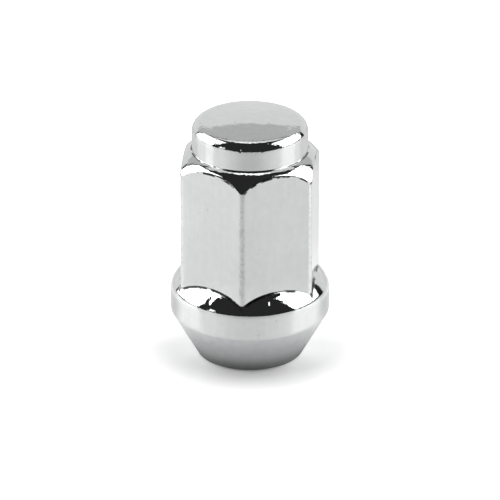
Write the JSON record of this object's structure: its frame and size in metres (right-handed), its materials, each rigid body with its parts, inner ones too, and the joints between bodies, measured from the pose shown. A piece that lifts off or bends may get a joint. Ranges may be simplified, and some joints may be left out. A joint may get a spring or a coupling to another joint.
{
  "type": "lug nut",
  "caption": "Closed-end chromed wheel nut with a hexagon on a round collar, a cone seat, a rounded button top and a blind threaded hole in its base.",
  "frame": {"origin": "centre of the base, on the thread's axis", "axes": "+Z along the thread's axis, from the base up to the button; a corner of the hexagon points along -Y and a flat faces +X"},
  "size_m": [0.023, 0.023, 0.0365],
  "materials": {
    "chrome": "bright chrome plating over forged steel, a little more satin on the cone seat"
  },
  "bodies": {
    "root": {"lug_nut": "chrome"}
  },
  "joints": []
}
